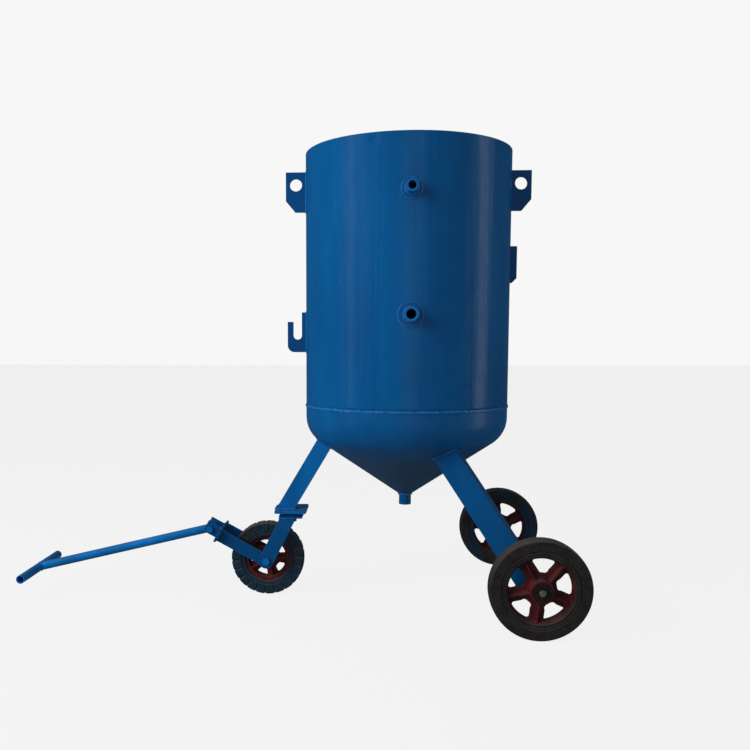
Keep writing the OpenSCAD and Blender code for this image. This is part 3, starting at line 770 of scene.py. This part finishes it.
def tyre_outline(wheel, rim_r, ring_r):
    """The tyre's section (r, h): bead, sidewall with a raised ring and a groove, shoulder and tread."""
    half = wheel.half_w
    shoulder = 4.5 * MM
    top = wheel.outer_r - 1.2 * MM
    side = [(rim_r - 1 * MM, half - 3 * MM), (rim_r + 1 * MM, half - 1.2 * MM)]
    side += line((rim_r + 3 * MM, half - 1.0 * MM), (ring_r - 2.2 * MM, half - 1.0 * MM), 4)
    side += [
        (ring_r - 1.8 * MM, half - 0.9 * MM),
        (ring_r - 1.0 * MM, half - 0.1 * MM),
        (ring_r + 0.6 * MM, half),
        (ring_r + 1.2 * MM, half - 2.8 * MM),
        (ring_r + 4.0 * MM, half - 2.8 * MM),
        (ring_r + 4.6 * MM, half - 0.2 * MM),
    ]
    side += line((ring_r + 5.4 * MM, half), (top - shoulder, half), 8)
    side += arc(top - shoulder, half - shoulder, shoulder, 90, 8, 6)
    crown_r = 4 * 2 * half
    edge = half - shoulder
    steps = 8
    tread = []
    for i in range(steps + 1):
        h = edge * (1 - i / steps)
        tread.append((wheel.outer_r - (crown_r - math.sqrt(crown_r**2 - h**2)), h))
    upper = side + tread
    lower = [(r, -h) for r, h in reversed(upper[:-1])]
    return upper + lower


def block_cut(wheel, turn, radius, height, low_r):
    """How deep a groove between the tread blocks is at a place, from 0 to 1."""
    blocks = 22
    side = 1 if height > 0 else -1
    phase = 0.25 * side
    share = (turn / TURN * blocks + phase) % 1
    off = abs(share - 0.5)
    across = max(0.0, min(1.0, (0.13 - off) / 0.05))
    if radius > wheel.outer_r - 9 * MM and abs(height) < wheel.half_w - 2 * MM:
        return across * max(0.0, min(1.0, (abs(height) - 3 * MM) / (3 * MM)))
    return across * max(0.0, min(1.0, (radius - low_r) / (5 * MM)))


def tyre(wheel, rim_r, ring_r, blocks_from=None):
    """A solid tyre, with grooves cut between tread blocks outside the radius blocks_from."""
    turns = 720 if blocks_from else 240
    outline = tyre_outline(wheel, rim_r, ring_r)
    points = []
    for radius, height in outline:
        for j in range(turns):
            turn = TURN * j / turns
            r, h = radius, height
            if blocks_from:
                cut = block_cut(wheel, turn, radius, height, blocks_from)
                share = max(0.0, min(1.0, (radius - (wheel.outer_r - 14 * MM)) / (12 * MM)))
                r -= 2 * MM * cut * share
                h -= math.copysign(2.6 * MM * cut * (1 - share), height)
            soft = noise.noise(Vector((math.cos(turn), math.sin(turn), height * 20)) * 3)
            r += 0.25 * MM * soft - 0.25 * MM
            points.append(wheel.place(r * math.cos(turn), r * math.sin(turn), h))
    faces = grid_faces(len(outline), turns)
    name = wheel.name + "_tyre_rubber"
    return new_piece(name, points, faces, wheel.body, wheel.finish, [wheel.tyre])


def lathe(bm, outline):
    """Turns a closed outline (r, h) about Z."""
    turns = 96
    rings = []
    for radius, height in outline:
        ring = []
        for j in range(turns):
            turn = TURN * j / turns
            ring.append(bm.verts.new((radius * math.cos(turn), radius * math.sin(turn), height)))
        rings.append(ring)
    for i, ring in enumerate(rings):
        after = rings[(i + 1) % len(rings)]
        for j in range(turns):
            k = (j + 1) % turns
            bm.faces.new((ring[j], ring[k], after[k], after[j]))


def window_outline(window_r, web_r, spoke_w, corner_r, middle_turn, spokes):
    """The rounded opening between two spokes, as points (x, y) round its middle direction."""
    outer_c = window_r - corner_r
    inner_c = web_r + corner_r
    reach = spoke_w / 2 + corner_r
    half_sector = math.pi / spokes
    far = half_sector - math.asin(reach / outer_c)
    near = max(0.02, half_sector - math.asin(reach / inner_c))
    points = []

    def corner(centre_r, turn, start, end):
        cx = centre_r * math.cos(middle_turn + turn)
        cy = centre_r * math.sin(middle_turn + turn)
        for i in range(7):
            angle = middle_turn + start + (end - start) * i / 6
            points.append((cx + corner_r * math.cos(angle), cy + corner_r * math.sin(angle)))

    flank = math.pi / 2 - half_sector
    corner(outer_c, -far, -half_sector - flank, -far)
    for i in range(1, 12):
        turn = middle_turn - far + 2 * far * i / 12
        points.append((window_r * math.cos(turn), window_r * math.sin(turn)))
    corner(outer_c, far, far, half_sector + flank)
    corner(inner_c, near, half_sector + flank, math.pi)
    corner(inner_c, -near, math.pi, TURN - half_sector - flank)
    return points


def circle(radius, count):
    return [(radius * math.cos(TURN * i / count), radius * math.sin(TURN * i / count)) for i in range(count)]


def web_plate(bm, outer_r, hub_r, thickness, windows):
    """A disc with windows, from a filled flat curve."""
    curve = bpy.data.curves.new("web", "CURVE")
    curve.dimensions = "2D"
    curve.fill_mode = "BOTH"
    curve.extrude = thickness / 2
    for outline in [circle(outer_r, 120), circle(hub_r, 60)] + windows:
        spline = curve.splines.new("POLY")
        spline.points.add(len(outline) - 1)
        for point, (x, y) in zip(spline.points, outline):
            point.co = (x, y, 0, 1)
        spline.use_cyclic_u = True
    flat = bpy.data.objects.new("web", curve)
    bpy.context.scene.collection.objects.link(flat)
    mesh = applied(flat)
    bm.from_mesh(mesh)
    bpy.data.objects.remove(flat)


def casting(wheel, phase, rim_r, window_r, web_r, hub_r, half_hub, bore_r, spoke_w, corner_r, inset):
    """A cast wheel with round corners everywhere: hub, web, ribbed spokes and rim ring, grown together."""
    half_ring = wheel.half_w - inset
    spokes = 5
    bm = bmesh.new()
    turns = [math.radians(phase) + TURN * (i + 0.5) / spokes for i in range(spokes)]
    windows = [window_outline(window_r, web_r, spoke_w, corner_r, turn, spokes) for turn in turns]
    web_plate(bm, rim_r - 2 * MM, hub_r - 3 * MM, 13 * MM, windows)
    draft = 1.5 * MM
    ring_in = window_r + draft
    lathe(bm, [
        (rim_r, -half_ring), (rim_r, half_ring), (ring_in + 1 * MM, half_ring), (window_r - draft, 4 * MM),
        (window_r - draft, -4 * MM), (ring_in + 1 * MM, -half_ring),
    ])
    boss = hub_r + 2.5 * MM
    lathe(bm, [
        (bore_r, -half_hub), (bore_r, half_hub), (hub_r - 2 * MM, half_hub), (hub_r, half_hub - 2 * MM),
        (boss, 5 * MM), (boss, -5 * MM), (hub_r, 2 * MM - half_hub), (hub_r - 2 * MM, -half_hub),
    ])
    for i in range(spokes):
        turn = Matrix.Rotation(math.radians(phase) + TURN * i / spokes, 4, "Z")
        rib(bm, turn, hub_r - 2 * MM, window_r + 1 * MM, 30 * MM, half_ring - 3 * MM)
    mesh = bpy.data.meshes.new(wheel.name + "_casting")
    bm.to_mesh(mesh)
    bm.free()
    rough = bpy.data.objects.new("rough_casting", mesh)
    bpy.context.scene.collection.objects.link(rough)
    grow = rough.modifiers.new("grow", "REMESH")
    grow.mode = "VOXEL"
    grow.voxel_size = 1.7 * MM
    ease = rough.modifiers.new("ease", "SMOOTH")
    ease.factor = 0.5
    ease.iterations = 5
    grown = applied(rough)
    bpy.data.objects.remove(rough)
    points = [wheel.place(*v.co) for v in grown.vertices]
    faces = [tuple(p.vertices) for p in grown.polygons]
    return new_piece(wheel.name + "_casting", points, faces, wheel.body, "casting", [wheel.rim])


def rib(bm, turn, start, end, hub_h, ring_h):
    """A tapered rib along a spoke, on both sides of the web, higher at the hub than at the ring."""
    foot = 6 * MM
    crest = 3.2 * MM
    for side in (1, -1):
        corners = []
        for x, height in ((start, hub_h), (end, ring_h)):
            corners.append([
                bm.verts.new(turn @ Vector((x, -foot, 0))),
                bm.verts.new(turn @ Vector((x, foot, 0))),
                bm.verts.new(turn @ Vector((x, crest, side * height))),
                bm.verts.new(turn @ Vector((x, -crest, side * height))),
            ])
        near, far = corners
        if side < 0:
            near.reverse()
            far.reverse()
        bm.faces.new(near[::-1])
        bm.faces.new(far)
        for k in range(4):
            m = (k + 1) % 4
            bm.faces.new((near[k], near[m], far[m], far[k]))


REAR = dict(
    rim_r=104 * MM, window_r=98 * MM, web_r=52 * MM, hub_r=37 * MM, half_hub=41 * MM, bore_r=25.8 * MM,
    spoke_w=40 * MM, corner_r=11 * MM, inset=8 * MM,
)
FRONT = dict(
    rim_r=82 * MM, window_r=66 * MM, web_r=43 * MM, hub_r=30 * MM, half_hub=42 * MM, bore_r=23.3 * MM,
    spoke_w=34 * MM, corner_r=8 * MM, inset=7 * MM,
)

near = Wheel("near", "rear_rim_left", "rear_tyre_left", "rear_wheel_left", "near_tyre")
far = Wheel("far", "rear_rim_right", "rear_tyre_right", "rear_wheel_right", "far_tyre")
front = Wheel("front", "front_rim", "front_tyre", "front_wheel", "front_tyre")

casting(near, phase=-24, **REAR)
casting(far, phase=28, **REAR)
casting(front, phase=-2, **FRONT)
tyre(near, REAR["rim_r"], ring_r=118 * MM)
tyre(far, REAR["rim_r"], ring_r=118 * MM)
tyre(front, FRONT["rim_r"], ring_r=92 * MM, blocks_from=99 * MM)

# ---- Floor, lights and camera ----


def floor():
    """A plain pale floor that neither lights the object from below nor shows in its gloss."""
    bpy.ops.mesh.primitive_plane_add(size=60)
    plane = bpy.context.object
    plane.name = "floor"
    surface = Surface("floor", roughness=0.9, specular=0.0)
    surface.shader.inputs["Base Color"].default_value = (0.10, 0.10, 0.10, 1)
    surface.shader.inputs["Emission Color"].default_value = (1, 1, 1, 1)
    surface.shader.inputs["Emission Strength"].default_value = 0.85
    plane.data.materials.append(surface.material)
    plane.visible_diffuse = False
    plane.visible_glossy = False


def softbox(name, place, target, width, height, radiance, colour=(1, 1, 1), mirrored=True):
    """A rectangular light of that brightness, facing the target, and seen in the gloss if mirrored."""
    light = bpy.data.lights.new(name, "AREA")
    light.shape = "RECTANGLE"
    light.size = width
    light.size_y = height
    light.energy = radiance * math.pi * width * height
    light.color = colour
    lamp = bpy.data.objects.new(name, light)
    lamp.location = place
    lamp.rotation_euler = (Vector(target) - Vector(place)).to_track_quat("-Z", "Y").to_euler()
    lamp.visible_glossy = mirrored
    bpy.context.scene.collection.objects.link(lamp)


def camera():
    """At a standing person's chest, 3 m off, looking slightly down and left."""
    lens = bpy.data.cameras.new("camera")
    lens.lens = 40.3
    lens.sensor_width = 36
    lens.shift_x = 0.0585
    lens.shift_y = 0.0701
    eye = bpy.data.objects.new("camera", lens)
    eye.location = (TANK.x - 0.1078, TANK.y - 2.9623, 0.9052)
    eye.rotation_euler = Euler((math.radians(84.17), 0, math.radians(3.01)))
    bpy.context.scene.collection.objects.link(eye)
    bpy.context.scene.camera = eye


def world():
    """Pale behind the object, a dim room all round to light it, and a dark one in its gloss."""
    room = bpy.data.worlds.new("studio")
    room.use_nodes = True
    tree = room.node_tree
    seen = tree.nodes.new("ShaderNodeLightPath")
    dim = tree.nodes["Background"]
    dim.inputs["Color"].default_value = (0.90, 0.95, 1.0, 1)
    dim.inputs["Strength"].default_value = 0.18
    shown = dim.outputs["Background"]
    for rays, tint in (("Is Glossy Ray", (0.03, 0.07, 0.11, 1)), ("Is Camera Ray", (0.93, 0.93, 0.93, 1))):
        other = tree.nodes.new("ShaderNodeBackground")
        other.inputs["Color"].default_value = tint
        either = tree.nodes.new("ShaderNodeMixShader")
        tree.links.new(seen.outputs[rays], either.inputs["Fac"])
        tree.links.new(shown, either.inputs[1])
        tree.links.new(other.outputs["Background"], either.inputs[2])
        shown = either.outputs["Shader"]
    tree.links.new(shown, tree.nodes["World Output"].inputs["Surface"])
    bpy.context.scene.world = room


camera()
floor()
world()
mid_height = (0.3, 0, 0.9)
softbox(
    "left_window", (-3.6, -2.6, 2.6), mid_height, width=3.6, height=3.0, radiance=4.0, mirrored=False,
)
softbox("left_gap", (-3.6, -2.0, 1.6), mid_height, width=0.5, height=3.0, radiance=0.7)
softbox("front_panel", (0.6, -4.5, 1.6), mid_height, width=1.6, height=3.0, radiance=0.24)
softbox(
    "right_door", (3.4, -0.4, 1.3), (0.4, 0, 1.1), width=0.7, height=3.2, radiance=1.3,
    colour=(0.92, 0.96, 1.0),
)
bpy.context.scene.view_settings.view_transform = "Standard"
